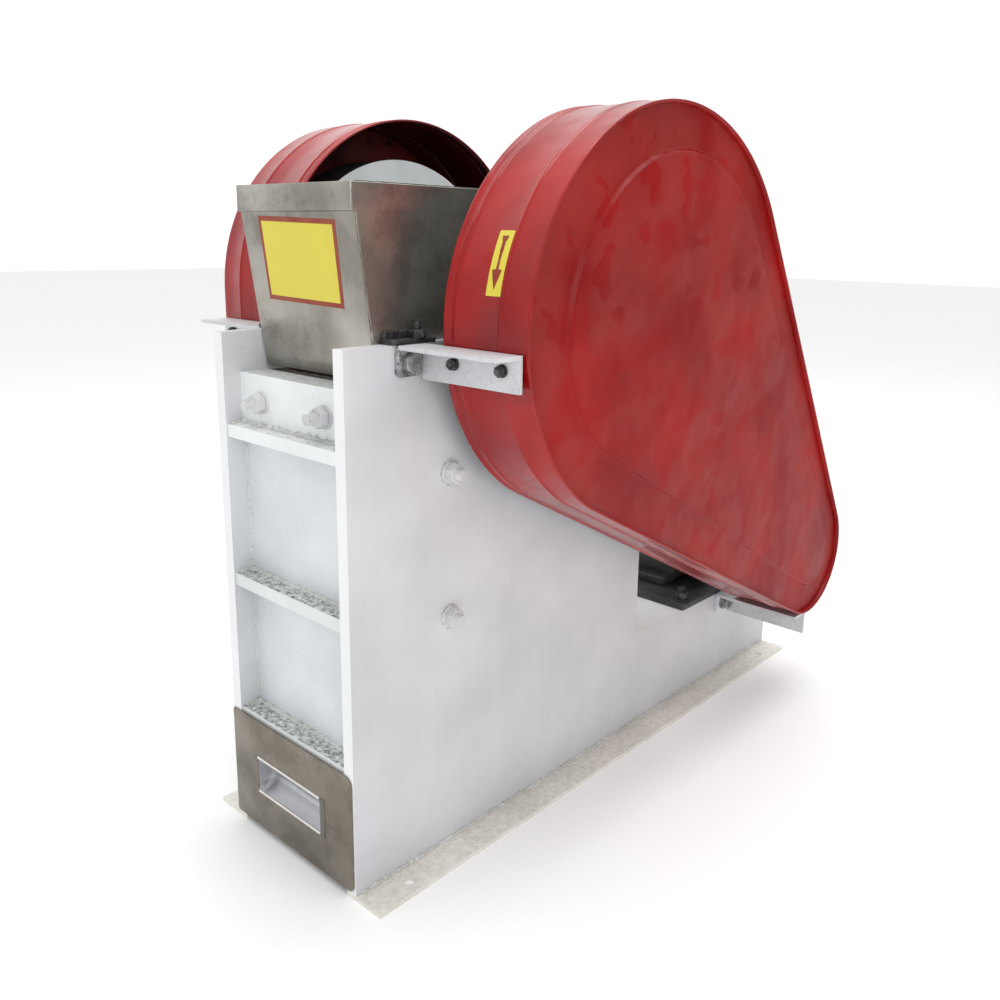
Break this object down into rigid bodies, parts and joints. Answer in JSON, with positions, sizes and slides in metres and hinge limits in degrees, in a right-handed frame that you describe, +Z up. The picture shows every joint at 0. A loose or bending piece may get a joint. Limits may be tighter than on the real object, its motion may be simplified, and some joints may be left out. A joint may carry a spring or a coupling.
{
  "type": "laboratory jaw crusher",
  "caption": "Plate-frame jaw crusher with feed hopper, flywheel and belt drive under sheet guards, rear motor and front catch drawer.",
  "frame": {"origin": "centre of the four anchor holes in the floor flanges, on the floor plane", "axes": "+Z up, -Y towards the feed and drawer end, +X towards the belt drive side"},
  "size_m": [0.498, 0.8833, 0.818],
  "materials": {
    "white_paint": "chalky white enamel on welded plate, some grime",
    "flange_paint": "worn grey-white paint",
    "red_paint": "glossy deep red enamel",
    "galvanised": "bare zinc-grey steel angle",
    "stainless": "brushed stainless sheet",
    "dark_steel": "black-oxide steel",
    "manganese": "cast manganese steel, worn",
    "casting": "grey-painted casting",
    "wheel_paint": "light grey painted casting, machined rim",
    "shaft": "ground steel",
    "rubber": "rubber V-belt",
    "motor_paint": "near-black motor enamel"
  },
  "bodies": {
    "frame": {"back_wall": "white_paint", "bay_plate": "white_paint", "bearing_housing_left": "casting", "bearing_housing_right": "casting", "belt_guard_band": "red_paint", "belt_guard_face": "red_paint", "bracket_front_left": "galvanised", "bracket_front_right": "galvanised", "bracket_pad_front_left": "dark_steel", "bracket_pad_front_right": "dark_steel", "bracket_pad_rear_left": "dark_steel", "bracket_pad_rear_right": "dark_steel", "bracket_rear_left": "galvanised", "bracket_rear_right": "galvanised", "drawer_rail_left": "white_paint", "drawer_rail_right": "white_paint", "drive_belts": "rubber", "end_plate": "white_paint", "feed_hopper": "stainless", "fixed_jaw_plate": "manganese", "floor_flange_left": "flange_paint", "floor_flange_right": "flange_paint", "flywheel_guard_band": "red_paint", "flywheel_guard_face": "red_paint", "front_block": "white_paint", "front_wall": "white_paint", "hopper_foot_left": "dark_steel", "hopper_foot_right": "dark_steel", "motor": "motor_paint", "motor_base": "dark_steel", "motor_fan_cover": "motor_paint", "motor_pulley": "casting", "motor_terminal_box": "motor_paint", "moving_jaw_plate": "manganese", "rib_low": "white_paint", "rib_mid": "white_paint", "rib_top": "white_paint", "side_liner_left": "manganese", "side_liner_right": "manganese", "side_plate_left": "white_paint", "side_plate_right": "white_paint", "swing_jaw": "casting", "tension_rod": "shaft", "tension_spring": "shaft", "toggle_beam": "white_paint", "toggle_plate": "casting"},
    "rotor": {"eccentric_shaft": "shaft", "flywheel": "wheel_paint", "belt_pulley": "casting"},
    "drawer": {"drawer_front": "stainless", "drawer_tray": "stainless", "drawer_handle": "stainless"}
  },
  "joints": [
    {"name": "drawer_slide", "type": "slide", "parent": "frame", "child": "drawer", "axis": [0, -1, 0], "range_m": [0, 0.25]},
    {"name": "flywheel_spin", "type": "hinge", "parent": "frame", "child": "rotor", "pos_m": [0, -0.14, 0.592], "axis": [1, 0, 0], "continuous": true}
  ]
}
